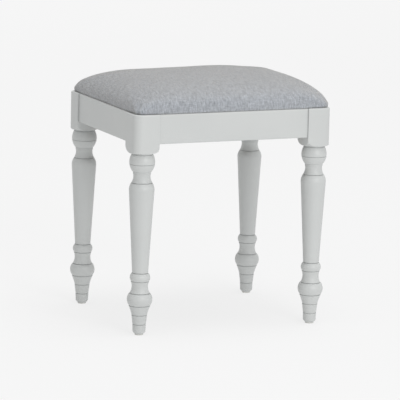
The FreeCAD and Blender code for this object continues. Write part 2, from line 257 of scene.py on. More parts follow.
def makePaint():
    material, tree, shader, coords = newMaterial("satinPaint")
    place = coords.outputs["Object"]
    cloud = ramp(tree, noiseAt(tree, place, paint["cloudScale"], 3.0), *paint["cloudRange"])
    colour = blendColours(tree, cloud, paint["deeperColour"], paint["colour"])
    # painted shade in the turned lines and joints
    colour = paintedCreaseShade(tree, colour, paint)
    tree.links.new(colour, shader.inputs["Base Color"])
    varyRoughness(tree, shader, noiseAt(tree, place, paint["glossScale"], 3.0), paint)
    peel = noiseAt(tree, place, paint["peelScale"], 1.0)
    grain = noiseAt(tree, stretched(tree, place, paint["grainStretch"]), 1.0, 2.0)
    height = summed(tree, (peel, 1.0), (grain, paint["grainShare"]))
    addBump(tree, shader, height, paint["peelDepth"])
    shader.inputs["Specular IOR Level"].default_value = paint["specular"]
    return material


# unpainted wood of the braces and dowels
bareWood = {
    "light": (0.66, 0.48, 0.29),
    "dark": (0.47, 0.31, 0.17),
    "ringSpacing": 0.024,
    "ringShare": 0.25,
    "wanderStretch": (4, 22, 22),
    "wander": 14.0,          # how far the rings are bent
    "fleckStretch": (60, 900, 900),
    "fleckShare": 0.9,
    "toneRange": (0.0, 0.85),
    "poreDepth": 0.0002,
    "roughness": 0.68,
}


def makeBareWood():
    material, tree, shader, coords = newMaterial("planedWood")
    # each brace lies across its corner, so the grain runs alike in mirrored coordinates
    parts = addNode(tree, "ShaderNodeSeparateXYZ", {0: coords.outputs["Object"]})
    x = calc(tree, "ABSOLUTE", parts.outputs[0])
    y = calc(tree, "ABSOLUTE", parts.outputs[1])
    along = calc(tree, "SUBTRACT", x, y)
    across = calc(tree, "ADD", x, y)
    turned = {0: along, 1: across, 2: parts.outputs[2]}
    bar = addNode(tree, "ShaderNodeCombineXYZ", turned).outputs[0]
    wander = noiseAt(tree, stretched(tree, bar, bareWood["wanderStretch"]), 1.0, 3.0)
    rings = summed(tree, (across, 2 * math.pi / bareWood["ringSpacing"]),
                   (wander, bareWood["wander"]))
    bands = calc(tree, "SINE", rings)
    fleck = noiseAt(tree, stretched(tree, bar, bareWood["fleckStretch"]), 1.0, 2.0)
    tone = summed(tree, (bands, bareWood["ringShare"]), (fleck, bareWood["fleckShare"]))
    tone = ramp(tree, tone, *bareWood["toneRange"])
    colour = blendColours(tree, tone, bareWood["dark"], bareWood["light"])
    tree.links.new(colour, shader.inputs["Base Color"])
    shader.inputs["Roughness"].default_value = bareWood["roughness"]
    addBump(tree, shader, fleck, bareWood["poreDepth"])
    return material


plywood = {
    "plies": 7,
    "plyShare": 0.45,
    "light": (0.62, 0.47, 0.30),
    "dark": (0.42, 0.28, 0.16),
    "figureStretch": (9, 90, 30),
    "figureShare": 0.7,
    "figureDepth": 0.0003,
    "toneRange": (0.2, 1.0),
    "roughness": 0.7,
}


def makePlywood():
    material, tree, shader, coords = newMaterial("plywoodSheet")
    place = coords.outputs["Object"]
    low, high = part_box("seat_board")
    parts = addNode(tree, "ShaderNodeSeparateXYZ", {0: place})
    raised = calc(tree, "SUBTRACT", parts.outputs[2], low[2])
    depth = calc(tree, "MULTIPLY", raised, plywood["plies"] / (high[2] - low[2]))
    ply = calc(tree, "MODULO", calc(tree, "FLOOR", depth), 2.0)
    figure = noiseAt(tree, stretched(tree, place, plywood["figureStretch"]), 1.0, 4.0)
    tone = summed(tree, (ply, plywood["plyShare"]), (figure, plywood["figureShare"]))
    tone = ramp(tree, tone, *plywood["toneRange"])
    colour = blendColours(tree, tone, plywood["light"], plywood["dark"])
    tree.links.new(colour, shader.inputs["Base Color"])
    shader.inputs["Roughness"].default_value = plywood["roughness"]
    addBump(tree, shader, figure, plywood["figureDepth"])
    return material


# heathered plain weave of the seat, drawn on the cloth's own UV map in metres
weave = {
    "yarnPitch": 0.0012,
    "wobbleStretch": (35, 35, 1),
    "wobble": 1.6,                    # how many pitches the yarns wander
    "yarnJump": 3.7,                  # how fast the tone changes from yarn to yarn
    "yarnDrift": 0.12,                # and along a yarn
    "yarnShare": 0.42,
    "slubLength": 0.014,
    "slubWidth": 0.0025,
    "slubShare": 0.50,
    "slubAcrossStretch": (70, 330, 1),
    "slubAcrossShare": 0.16,
    "patchStretch": (22, 14, 1),
    "patchShare": 0.04,
    "light": (0.672, 0.712, 0.764),
    "middle": (0.452, 0.480, 0.520),
    "dark": (0.247, 0.266, 0.302),
    "darkToMiddle": (0.38, 0.56),
    "middleToLight": (0.54, 0.73),
    "gapShadeHeight": 0.45,                # below this height of a yarn the gap between yarns gets painted shade
    "yarnDepth": 0.00035,
    "slubRelief": 0.9,
    "fuzzStretch": (2600, 2600, 1),
    "fuzzRelief": 0.4,
    "roughness": 0.88,
    "specular": 0.2,
    "sheen": 0.74,
    "sheenRoughness": 0.5,
    "sheenTint": (1.0, 0.94, 0.85),
    "paintedShadeReach": 4.5 * millimetre,  # painted shade where the cloth turns in under the pad
    "paintedShadeStrength": 0.85,
    "paintedShadeColour": (0.06, 0.06, 0.07),
}


def makeWeave():
    material, tree, shader, coords = newMaterial("heatheredWeave")
    uv = coords.outputs["UV"]
    perPitch = 1 / weave["yarnPitch"]
    wobble = noiseAt(tree, stretched(tree, uv, weave["wobbleStretch"]), 1.0, 2.0)
    shift = calc(tree, "MULTIPLY", calc(tree, "SUBTRACT", wobble, 0.5), weave["wobble"])
    parts = addNode(tree, "ShaderNodeSeparateXYZ", {0: uv})
    u = calc(tree, "ADD", calc(tree, "MULTIPLY", parts.outputs[0], perPitch), shift)
    v = calc(tree, "ADD", calc(tree, "MULTIPLY", parts.outputs[1], perPitch), shift)
    warpYarn = calc(tree, "FLOOR", u)
    weftYarn = calc(tree, "FLOOR", v)
    yarns = calc(tree, "ABSOLUTE", calc(tree, "ADD", warpYarn, weftYarn))
    crossing = calc(tree, "MODULO", yarns, 2.0)

    def roundYarn(place):
        turn = calc(tree, "MULTIPLY", place, math.pi)
        return calc(tree, "ABSOLUTE", calc(tree, "SINE", turn))

    def pick(warp, weft):
        # what lies on top where the yarns cross
        both = {0: crossing, 2: weft, 3: warp}
        return addNode(tree, "ShaderNodeMix", both, data_type="FLOAT").outputs[0]

    def yarnTone(x, stepX, y, stepY):
        # every yarn has its own tone, which drifts along it
        place = addNode(tree, "ShaderNodeCombineXYZ", {
            0: calc(tree, "MULTIPLY", x, stepX), 1: calc(tree, "MULTIPLY", y, stepY)})
        inputs = {"Vector": place.outputs[0], "Scale": 1.0, "Detail": 2.0}
        return addNode(tree, "ShaderNodeTexNoise", inputs, noise_dimensions="2D").outputs[0]

    height = pick(roundYarn(u), roundYarn(v))
    warpTone = yarnTone(warpYarn, weave["yarnJump"], v, weave["yarnDrift"])
    weftTone = yarnTone(u, weave["yarnDrift"], weftYarn, weave["yarnJump"])
    slubStretch = (1 / weave["slubWidth"], 1 / weave["slubLength"], 1)
    slub = noiseAt(tree, stretched(tree, uv, slubStretch), 1.0, 3.0, 0.6)
    slubAcross = noiseAt(tree, stretched(tree, uv, weave["slubAcrossStretch"]), 1.0, 2.0)
    patch = noiseAt(tree, stretched(tree, uv, weave["patchStretch"]), 1.0, 2.0)
    tone = summed(tree, (pick(warpTone, weftTone), weave["yarnShare"]), (slub, weave["slubShare"]),
                  (slubAcross, weave["slubAcrossShare"]), (patch, weave["patchShare"]))
    colour = blendColours(tree, ramp(tree, tone, *weave["darkToMiddle"]),
                          weave["dark"], weave["middle"])
    colour = blendColours(tree, ramp(tree, tone, *weave["middleToLight"]), colour, weave["light"])
    # painted shade in the gaps between the yarns, where they dip
    gapShade = ramp(tree, height, 0.0, weave["gapShadeHeight"])
    colour = blendColours(tree, gapShade, weave["dark"], colour)
    # painted shade where the cloth folds and turns in under the pad
    tree.links.new(paintedCreaseShade(tree, colour, weave), shader.inputs["Base Color"])
    fuzz = noiseAt(tree, stretched(tree, uv, weave["fuzzStretch"]), 1.0, 2.0)
    relief = summed(tree, (height, 1.0), (slub, weave["slubRelief"]), (fuzz, weave["fuzzRelief"]))
    addBump(tree, shader, relief, weave["yarnDepth"])
    shader.inputs["Roughness"].default_value = weave["roughness"]
    shader.inputs["Specular IOR Level"].default_value = weave["specular"]
    shader.inputs["Sheen Weight"].default_value = weave["sheen"]
    shader.inputs["Sheen Roughness"].default_value = weave["sheenRoughness"]
    shader.inputs["Sheen Tint"].default_value = (*weave["sheenTint"], 1)
    return material


lining = {
    "colour": (0.020, 0.020, 0.022),
    "fibre": (0.060, 0.060, 0.064),
    "fibreStretch": (1500, 260, 1),
    "fibreRange": (0.4, 0.75),
    "dotScale": 700.0,
    "depth": 0.0002,
    "roughness": 0.9,
}


def makeLining():
    material, tree, shader, coords = newMaterial("nonWovenLining")
    place = coords.outputs["Object"]
    fibres = noiseAt(tree, stretched(tree, place, lining["fibreStretch"]), 1.0, 3.0, 0.7)
    dotted = {"Vector": place, "Scale": lining["dotScale"]}
    dots = addNode(tree, "ShaderNodeTexVoronoi", dotted).outputs["Distance"]
    fibre = ramp(tree, fibres, *lining["fibreRange"])
    colour = blendColours(tree, fibre, lining["colour"], lining["fibre"])
    tree.links.new(colour, shader.inputs["Base Color"])
    shader.inputs["Roughness"].default_value = lining["roughness"]
    addBump(tree, shader, calc(tree, "ADD", fibres, dots), lining["depth"])
    return material


zinc = {
    "colour": (0.62, 0.62, 0.60),
    "deeperColour": (0.50, 0.51, 0.50),
    "bloomScale": 420.0,
    "bloomDepth": 0.00005,
    "roughness": 0.34,
    "glossier": 0.08,
    "duller": 0.12,
}


def makeZinc():
    material, tree, shader, coords = newMaterial("zincPlate")
    bloom = noiseAt(tree, coords.outputs["Object"], zinc["bloomScale"], 3.0)
    colour = blendColours(tree, bloom, zinc["deeperColour"], zinc["colour"])
    tree.links.new(colour, shader.inputs["Base Color"])
    varyRoughness(tree, shader, bloom, zinc)
    shader.inputs["Metallic"].default_value = 1.0
    addBump(tree, shader, bloom, zinc["bloomDepth"])
    return material


nylon = {
    "colour": (0.74, 0.74, 0.71),
    "scuffed": (0.60, 0.60, 0.57),
    "scuffStretch": (900, 120, 120),
    "scuffRange": (0.3, 0.8),
    "scuffDepth": 0.0001,
    "roughness": 0.48,
}


def makeNylon():
    material, tree, shader, coords = newMaterial("glideNylon")
    place = coords.outputs["Object"]
    scuff = noiseAt(tree, stretched(tree, place, nylon["scuffStretch"]), 1.0, 3.0)
    worn = ramp(tree, scuff, *nylon["scuffRange"])
    colour = blendColours(tree, worn, nylon["colour"], nylon["scuffed"])
    tree.links.new(colour, shader.inputs["Base Color"])
    shader.inputs["Roughness"].default_value = nylon["roughness"]
    addBump(tree, shader, scuff, nylon["scuffDepth"])
    return material


materials = {
    "painted_wood": makePaint(),
    "bare_wood": makeBareWood(),
    "plywood": makePlywood(),
    "seat_fabric": makeWeave(),
    "lining": makeLining(),
    "zinc_steel": makeZinc(),
    "glide_plastic": makeNylon(),
}
print("materials ready")


def finish(obj, slotName, *nodes):
    # material, body, record slot and the solids that the piece stands for
    obj.data.materials.clear()
    obj.data.materials.append(materials[slotName])
    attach(obj, "root")
    if nodes:
        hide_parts(*nodes)


for part in frame["record"]["subparts"]:
    if part["material_slot"] in materials:
        cadNode = frame["nodes"][part["node"]]
        for slot in cadNode.material_slots:
            slot.material = materials[part["material_slot"]]
print("frame nodes painted")


# seat pad: crowned and rolled over at the edges, with pleats tucked in at the corners
cushion = {
    "inset": 3.0 * millimetre,
    "cornerRadius": 17 * millimetre,
    "sideHeight": 8.5 * millimetre,
    "crown": 48.2 * millimetre,
    "drawIn": 1.8 * millimetre,
    "drawInPower": 6,
    "lip": 0.8 * millimetre,      # the lower edge hangs a little over the frame's rounded edge
    "lengthPower": 5.3,
    "lengthRisePower": 2.0,
    "widthPower": 1.9,
    "widthRisePower": 2.74,
    "cornerGrowth": 0.43,
    "cornerFill": 0.9,
    "columns": 100,
    "rows": 84,
    "sideRows": 6,
    "returnRows": 3,
    "returnDepth": 32 * millimetre,
    "leastRadius": 2 * millimetre,
    "edgeBand": 0.38,             # outer share of the rows that follows the roll
    "edgeBandWidth": 0.70,        # width share where the flatter middle starts
    "edgeEasing": 2.2,            # crowds the rows towards the roll
    "pressure": 4.0,
    "clothMass": 0.3,
    "stretchStiffness": 25,
    "squeezeStiffness": 20,
    "bendStiffness": 4,
    "frames": 20,
    "startShrink": 2.0 * millimetre,
    "mostSwell": 0.5 * millimetre,
    "pleatHeight": 36 * millimetre,
    "pleatDepth": 2.2 * millimetre,
    "pleatWidth": 3.4 * millimetre,
    "pleatAngle": 42,             # degrees round the corner
    "pleatLean": 4 * millimetre,
    "pleatRidge": 0.35,           # height of the fold beside it, as a share of its depth
    "puckerHeight": 16 * millimetre,
    "puckerDepth": 0.5 * millimetre,
    "puckerScale": 38,
    "slackDepth": 0.35 * millimetre,
    "slackScale": 16,
    "shift": 1.5 * millimetre,    # the pad sits a little to the right, and leans that way
    "lean": 1.0 * millimetre,
    # uneven filling: middle in plan, reach across and along, and height, in millimetres
    "lumps": [
        ((131, 80), (24, 60), -1.7),
        ((-75, 106), (32, 60), -1.0),
        ((44, 77), (24, 60), 0.8),
    ],
    "lumpTurn": 23.35,            # degrees by which they are turned in plan
}

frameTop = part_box("leg_front_left")[1][2]
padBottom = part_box("seat_cover")[0][2]
padSideTop = frameTop + cushion["sideHeight"]
padHalfLength = cadHigh[0] - cushion["inset"]
padHalfWidth = cadHigh[1] - cushion["inset"]


def padOutline(share):
    # half length, half width and corner radius where the pad has risen by a share of its crown
    lengthShare = (1 - share ** cushion["lengthRisePower"]) ** (1 / cushion["lengthPower"])
    widthShare = (1 - share ** cushion["widthRisePower"]) ** (1 / cushion["widthPower"])
    halfX = padHalfLength * lengthShare
    halfY = padHalfWidth * widthShare
    full = cushion["cornerFill"] * min(halfX, halfY)
    growth = (1 - min(lengthShare, widthShare)) ** cushion["cornerGrowth"]
    radius = cushion["cornerRadius"] + (full - cushion["cornerRadius"]) * growth
    return halfX, halfY, radius


def riseAtWidth(width):
    return (1 - width ** cushion["widthPower"]) ** (1 / cushion["widthRisePower"])


def onOutline(outline, squareX, squareY):
    # walks from the middle of a side to the corner, by length along the outline
    halfX, halfY, radius = outline
    alongX = abs(squareX) < abs(squareY)
    half, other = (halfX, halfY) if alongX else (halfY, halfX)
    share = min(abs(squareX), abs(squareY))
    straight = half - radius
    walked = share * (straight + radius * math.pi / 4)
    if walked < straight:
        a, b = walked, other
    else:
        angle = (walked - straight) / radius
        a, b = straight + radius * math.sin(angle), other - radius + radius * math.cos(angle)
    x, y = (a, b) if alongX else (b, a)
    return math.copysign(x, squareX), math.copysign(y, squareY)


def insideOutline(x, y, outline):
    halfX, halfY, radius = outline
    overX = max(0, abs(x) - halfX + radius)
    overY = max(0, abs(y) - halfY + radius)
    return math.hypot(overX, overY) <= radius


def riseAt(x, y):
    low, high = 0.0, 1.0
    for step in range(24):
        middle = (low + high) / 2
        if insideOutline(x, y, padOutline(middle)):
            low = middle
        else:
            high = middle
    return low


def padPoint(gridX, gridY, row):
    # row 0 is the top sheet, then come the side rows and the rows of the return
    ring = max(abs(gridX), abs(gridY))
    if row > 0:
        halfX, halfY, radius = padOutline(0)
        down = min(1, row / cushion["sideRows"])
        height = padSideTop - (padSideTop - padBottom + cushion["lip"]) * down
        pulled = cushion["drawIn"] * down ** cushion["drawInPower"]
        if row > cushion["sideRows"]:
            height = padBottom
            back = (row - cushion["sideRows"]) / cushion["returnRows"]
            pulled = cushion["drawIn"] + back ** 2 * cushion["returnDepth"]
        corner = max(radius - pulled, cushion["leastRadius"])
        outline = (halfX - pulled, halfY - pulled, corner)
        x, y = onOutline(outline, gridX / ring, gridY / ring)
        return x, y, height
    if ring == 0:
        return 0, 0, padSideTop + cushion["crown"]
    bandStart = 1 - cushion["edgeBand"]
    innerWidth = cushion["edgeBandWidth"]
    if ring >= bandStart:
        fromRim = (1 - ring) / cushion["edgeBand"]
        share = riseAtWidth(1 - (1 - innerWidth) * fromRim ** cushion["edgeEasing"])
        x, y = onOutline(padOutline(share), gridX / ring, gridY / ring)
    else:
        x, y = onOutline(padOutline(riseAtWidth(innerWidth)), gridX / ring, gridY / ring)
        x, y = x * ring / bandStart, y * ring / bandStart
        share = riseAt(x, y)
    return x, y, padSideTop + cushion["crown"] * share


def startPad():
    # a grid for the top, its rim pulled down for the sides and then in for the return
    deselect()
    bpy.ops.mesh.primitive_grid_add(x_subdivisions=cushion["columns"],
                                    y_subdivisions=cushion["rows"], size=2)
    pad = named("seatPad")
    bpy.ops.object.mode_set(mode="EDIT")
    bpy.ops.mesh.select_mode(type="EDGE")
    bpy.ops.mesh.select_all(action="SELECT")
    bpy.ops.mesh.region_to_loop()
    for row in range(cushion["sideRows"] + cushion["returnRows"]):
        bpy.ops.mesh.extrude_region_move(TRANSFORM_OT_translate={"value": (0, 0, -1)})
    bpy.ops.mesh.fill_grid(span=cushion["columns"])
    objectMode()
    return pad


def shapePad(pad):
    grid = readPoints(pad.data)
    placed = np.zeros((len(grid), 3))
    for i, (x, y, z) in enumerate(grid):
        onAxis = x == 0 and y == 0 and z <= -0.5
        placed[i] = (0, 0, padBottom) if onAxis else padPoint(x, y, round(-z))
    # the flat sheet underneath, inside the return
    lastRow = cushion["sideRows"] + cushion["returnRows"]
    inner = (np.abs(grid[:, 2] + lastRow) < 0.01) & (np.abs(grid[:, :2]).max(axis=1) < 0.999)
    edgeX = padHalfLength - cushion["drawIn"] - cushion["returnDepth"]
    edgeY = padHalfWidth - cushion["drawIn"] - cushion["returnDepth"]
    placed[inner, 0] = grid[inner, 0] * edgeX
    placed[inner, 1] = grid[inner, 1] * edgeY
    placed[inner, 2] = padBottom
    writePoints(pad.data, placed)
    return grid


def unwrapPad(pad, grid):
    # UV in metres, measured along the cloth from the middle outwards and on down the sides
    points = readPoints(pad.data)
    onTop = [i for i in range(len(grid)) if abs(grid[i][2]) < 0.01]
    byPlace = {(round(grid[i][0], 4), round(grid[i][1], 4)): i for i in onTop}
    xs = sorted({key[0] for key in byPlace})
    ys = sorted({key[1] for key in byPlace})
    cloth = np.zeros((len(points), 2))
    for axis, lines, steps in ((0, ys, xs), (1, xs, ys)):
        for line in lines:
            ids = [byPlace[(step, line) if axis == 0 else (line, step)] for step in steps]
            lengths = np.linalg.norm(np.diff(points[ids], axis=0), axis=1)
            walked = np.concatenate([[0], np.cumsum(lengths)])
            cloth[ids, axis] = walked - walked[len(steps) // 2]
    for i, (x, y, z) in enumerate(grid):
        if z > -0.5:
            continue
        rim = byPlace.get((round(x, 4), round(y, 4)))
        if rim is None or max(abs(x), abs(y)) < 0.999:
            cloth[i] = points[i][:2]
            continue
        away = points[i] - points[rim]
        length = np.linalg.norm(away)
        weightX = abs(x) ** 8 / (abs(x) ** 8 + abs(y) ** 8)
        cloth[i, 0] = cloth[rim, 0] + math.copysign(length * weightX, x)
        cloth[i, 1] = cloth[rim, 1] + math.copysign(length * (1 - weightX), y)
    layers = pad.data.uv_layers
    layer = layers[0] if layers else layers.new(name="cloth")
    for loop in pad.data.loops:
        layer.data[loop.index].uv = cloth[loop.vertex_index]


def swellPad(pad, grid):
    # the cloth is stapled underneath, and the filling pushes it out
    rest = readPoints(pad.data)
    stapled = pad.vertex_groups.new(name="stapled")
    held = [i for i in range(len(grid)) if grid[i][2] < 0.5 - cushion["sideRows"]]
    stapled.add(held, 1.0, "REPLACE")
    centre = np.array([0, 0, padSideTop])
    away = rest - centre
    shrink = cushion["startShrink"] / np.maximum(np.linalg.norm(away, axis=1), 0.02)
    shrink[held] = 0
    writePoints(pad.data, rest - away * shrink[:, None])
    cloth = pad.modifiers.new("swell", "CLOTH")
    cloth.settings.quality = 6
    cloth.settings.mass = cushion["clothMass"]
    cloth.settings.tension_stiffness = cushion["stretchStiffness"]
    cloth.settings.compression_stiffness = cushion["squeezeStiffness"]
    cloth.settings.bending_stiffness = cushion["bendStiffness"]
    cloth.settings.use_pressure = True
    cloth.settings.uniform_pressure_force = cushion["pressure"]
    cloth.settings.vertex_group_mass = "stapled"
    cloth.settings.effector_weights.gravity = 0
    scene = bpy.context.scene
    for step in range(1, cushion["frames"] + 1):
        scene.frame_set(step)
    swollen = readPoints(pad.evaluated_get(bpy.context.evaluated_depsgraph_get()).data)
    pad.modifiers.remove(cloth)
    scene.frame_set(1)
    moved = swollen - rest
    distance = np.linalg.norm(moved, axis=1)
    kept = np.minimum(1, cushion["mostSwell"] / np.maximum(distance, 1e-9))
    writePoints(pad.data, rest + moved * kept[:, None])
    print("seat pad swollen by up to", round(distance.max() / millimetre, 1), "mm")


def tuckPad(pad):
    # pleats at the corners and small puckers where the cloth is pulled under the board
    mesh = pad.data
    points = readPoints(mesh)
    normals = np.empty(len(points) * 3)
    mesh.vertices.foreach_get("normal", normals)
    normals = normals.reshape(-1, 3)
    centreX = padHalfLength - cushion["cornerRadius"]
    centreY = padHalfWidth - cushion["cornerRadius"]
    out = np.zeros(len(points))
    for i, (x, y, z) in enumerate(points):
        height = z - padBottom
        if height < 0.2 * millimetre:
            continue
        cornerX, cornerY = abs(x) - centreX, abs(y) - centreY
        if cornerX > -0.02 and cornerY > -0.02 and height < cushion["pleatHeight"]:
            angle = math.atan2(max(cornerY, millimetre), max(cornerX, millimetre))
            up = height / cushion["pleatHeight"]
            fade = math.sin(math.pi / 2 * (1 - up)) ** 0.8
            turned = (angle - math.radians(cushion["pleatAngle"])) * cushion["cornerRadius"]
            sideways = (turned - up * cushion["pleatLean"]) / cushion["pleatWidth"]
            valley = math.exp(-(sideways * 1.6) ** 2)
            ridge = math.exp(-(sideways - 1) ** 2) * cushion["pleatRidge"]
            out[i] += fade * (ridge - valley) * cushion["pleatDepth"]
        if height < cushion["puckerHeight"]:
            fade = (1 - height / cushion["puckerHeight"]) ** 1.5
            along = x if abs(normals[i][1]) > abs(normals[i][0]) else y
            side = math.copysign(7, x) + math.copysign(3, y)     # each side has its own puckers
            wave = noise.noise(Vector((along * cushion["puckerScale"], side, height * 25)))
            out[i] += fade * wave * cushion["puckerDepth"]
        slack = noise.noise(Vector((x, y, z)) * cushion["slackScale"])
        out[i] += slack * cushion["slackDepth"]
    writePoints(mesh, points + normals * out[:, None])


def settlePad(pad):
    # a stool's pad is never quite even or centred: it has lumps, leans and is moved by a hair
    points = readPoints(pad.data)
    raised = np.clip((points[:, 2] - padBottom) / cushion["crown"], 0, 1)
    turn = math.radians(cushion["lumpTurn"])
    for middle, (across, along), height in cushion["lumps"]:
        away = points[:, :2] / millimetre - middle
        sideways = away[:, 0] * math.cos(turn) - away[:, 1] * math.sin(turn)
        inwards = away[:, 0] * math.sin(turn) + away[:, 1] * math.cos(turn)
        weight = np.exp(-((sideways / across) ** 2 + (inwards / along) ** 2) / 2)
        points[:, 2] += height * millimetre * weight * raised
    points[:, 2] += cushion["lean"] * raised * points[:, 0] / padHalfLength
    points[:, 0] += cushion["shift"]
    writePoints(pad.data, points)


pad = startPad()
padGrid = shapePad(pad)
unwrapPad(pad, padGrid)
swellPad(pad, padGrid)
finer = pad.modifiers.new("finer", "SUBSURF")
finer.levels = finer.render_levels = 1
applyModifiers(pad)
tuckPad(pad)
settlePad(pad)
bpy.ops.object.shade_smooth()
finish(pad, "seat_fabric", "seat_cover", "seat_wadding", "seat_foam")
print("seat pad ready,", len(pad.data.polygons), "faces")


# dust cover under the pad, with its staples
dustCover = {
    "cutCorner": 44.2 * millimetre,
    "thickness": 0.5 * millimetre,
    "sag": 1.2 * millimetre,
    "evenSag": 0.6,          # the rest of the sag ripples
    "rippleScale": (14, 22),
    "strips": 34,
    "edgeToStaple": 6 * millimetre,
    "stapleSpacing": 38 * millimetre,
}
liningLow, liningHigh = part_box("dust_cover")


def makeDustCover():
    deselect()
    bpy.ops.mesh.primitive_plane_add(size=1, location=(0, 0, liningHigh[2]))
    sheet = bpy.context.object
    sheet.scale = (liningHigh[0] - liningLow[0], liningHigh[1] - liningLow[1], 1)
    sheet = named("dustCover")
    bpy.ops.object.mode_set(mode="EDIT")
    bpy.ops.mesh.select_all(action="SELECT")
    bpy.ops.mesh.bevel(offset=dustCover["cutCorner"], segments=1, affect="VERTICES")
    bpy.ops.mesh.select_all(action="SELECT")
    for axis in range(2):
        span = liningHigh[axis] * 2
        for cut in range(1, dustCover["strips"]):
            place, normal = [0, 0, 0], [0, 0, 0]
            place[axis] = liningLow[axis] + span * cut / dustCover["strips"]
            normal[axis] = 1
            bpy.ops.mesh.select_all(action="SELECT")
            bpy.ops.mesh.bisect(plane_co=place, plane_no=normal)
    objectMode()
    points = readPoints(sheet.data)
    scaleX, scaleY = dustCover["rippleScale"]
    even = dustCover["evenSag"]
    for point in points:
        inX = 1 - (point[0] / liningHigh[0]) ** 2
        inY = 1 - (point[1] / liningHigh[1]) ** 2
        ripple = noise.noise(Vector((point[0] * scaleX, point[1] * scaleY, 1.7)))
        if inX * inY > 0:
            sag = dustCover["sag"] * (even + (1 - even) * ripple)
            point[2] -= (inX * inY) ** 0.5 * sag
    writePoints(sheet.data, points)
    solid = sheet.modifiers.new("thickness", "SOLIDIFY")
    solid.thickness = dustCover["thickness"]
    solid.offset = -1
    applyModifiers(sheet)
    smooth(sheet, 40)
    return sheet


staple = {
    "crown": 10 * millimetre,
    "wire": 1.0 * millimetre,
    "flatness": 0.6,
    "leg": 4 * millimetre,
    "rounding": 0.18,        # share of the wire
    "crooked": 6,            # degrees
}


def makeStaple():
    # one bent wire, its crown flat on the cloth and its legs going up
    deselect()
    bpy.ops.mesh.primitive_cube_add(size=1)
    wire = bpy.context.object
    wire.scale = (staple["crown"], staple["wire"], staple["wire"] * staple["flatness"])
    wire = named("staple")
    legStart = staple["crown"] / 2 - staple["wire"]
    bpy.ops.object.mode_set(mode="EDIT")
    for side in (-1, 1):
        bpy.ops.mesh.select_all(action="SELECT")
        bpy.ops.mesh.bisect(plane_co=(side * legStart, 0, 0), plane_no=(1, 0, 0))
    selectFaces(wire, lambda centre, normal: normal.z > 0.9 and abs(centre.x) > legStart)
    bpy.ops.mesh.extrude_region_move(TRANSFORM_OT_translate={"value": (0, 0, staple["leg"])})
    bpy.ops.mesh.select_all(action="SELECT")
    bpy.ops.mesh.bevel(offset=staple["wire"] * staple["rounding"], segments=1,
                       affect="EDGES", clamp_overlap=True)
    smooth(wire, 50)
    return wire


def stapleTrail(halfX, halfY, cut):
    # the corners of the dust cover, moved in by the staples' edge distance
    corners = [(halfX, -halfY + cut), (halfX, halfY - cut),
               (halfX - cut, halfY), (-halfX + cut, halfY)]
    return corners + [(-x, -y) for x, y in corners]


def placeStaples():
    margin = dustCover["edgeToStaple"]
    cut = dustCover["cutCorner"] - margin * 0.4
    trail = stapleTrail(liningHigh[0] - margin, liningHigh[1] - margin, cut)
    pattern = makeStaple()
    height = liningLow[2] - staple["wire"] * staple["flatness"] / 2
    copies = []
    for start, end in zip(trail, trail[1:] + trail[:1]):
        start, end = Vector(start), Vector(end)
        side = end - start
        count = max(1, round(side.length / dustCover["stapleSpacing"]))
        for number in range(count):
            spot = start + side * (number + 0.5) / count
            crooked = staple["crooked"] * noise.noise(Vector((spot.x * 90, spot.y * 90, 3)))
            turn = math.atan2(side.y, side.x) + math.radians(crooked)
            place = Matrix.Translation((spot.x, spot.y, height)) @ Matrix.Rotation(turn, 4, "Z")
            copies.append(copyAt(pattern, "dustCoverStaple", place))
    bpy.data.objects.remove(pattern)
    return joined(copies, "dustCoverStaples")


sheet = makeDustCover()
finish(sheet, "lining", "dust_cover")
staples = placeStaples()
finish(staples, "zinc_steel")
print("dust cover and staples ready")


# pan-head screws with a cross recess, as seen from below and inside the frame
screwHead = {
    "rounding": 0.55,        # share of the head's height
    "bladeLength": 1.15,     # shares of the head's radius
    "bladeWidth": 0.24,
    "bladeDepth": 1.2,       # share of the head's height
    "tipShare": 0.08,        # width of the point, as a share of the shank
}
seatScrew = {
    "headRadius": 4.5 * millimetre,
    "headHeight": 3.0 * millimetre,
    "shankRadius": 2.25 * millimetre,
    "turnStep": 31,          # degrees, so that no two recesses look alike
    "firstTurn": 17,
}
braceScrew = {
    "headRadius": 4.0 * millimetre,
    "headHeight": 2.4 * millimetre,
    "shankRadius": 2.0 * millimetre,
    "length": 26 * millimetre,
    "seat": 12 * millimetre,
    "braceWidth": 25 * millimetre,
}


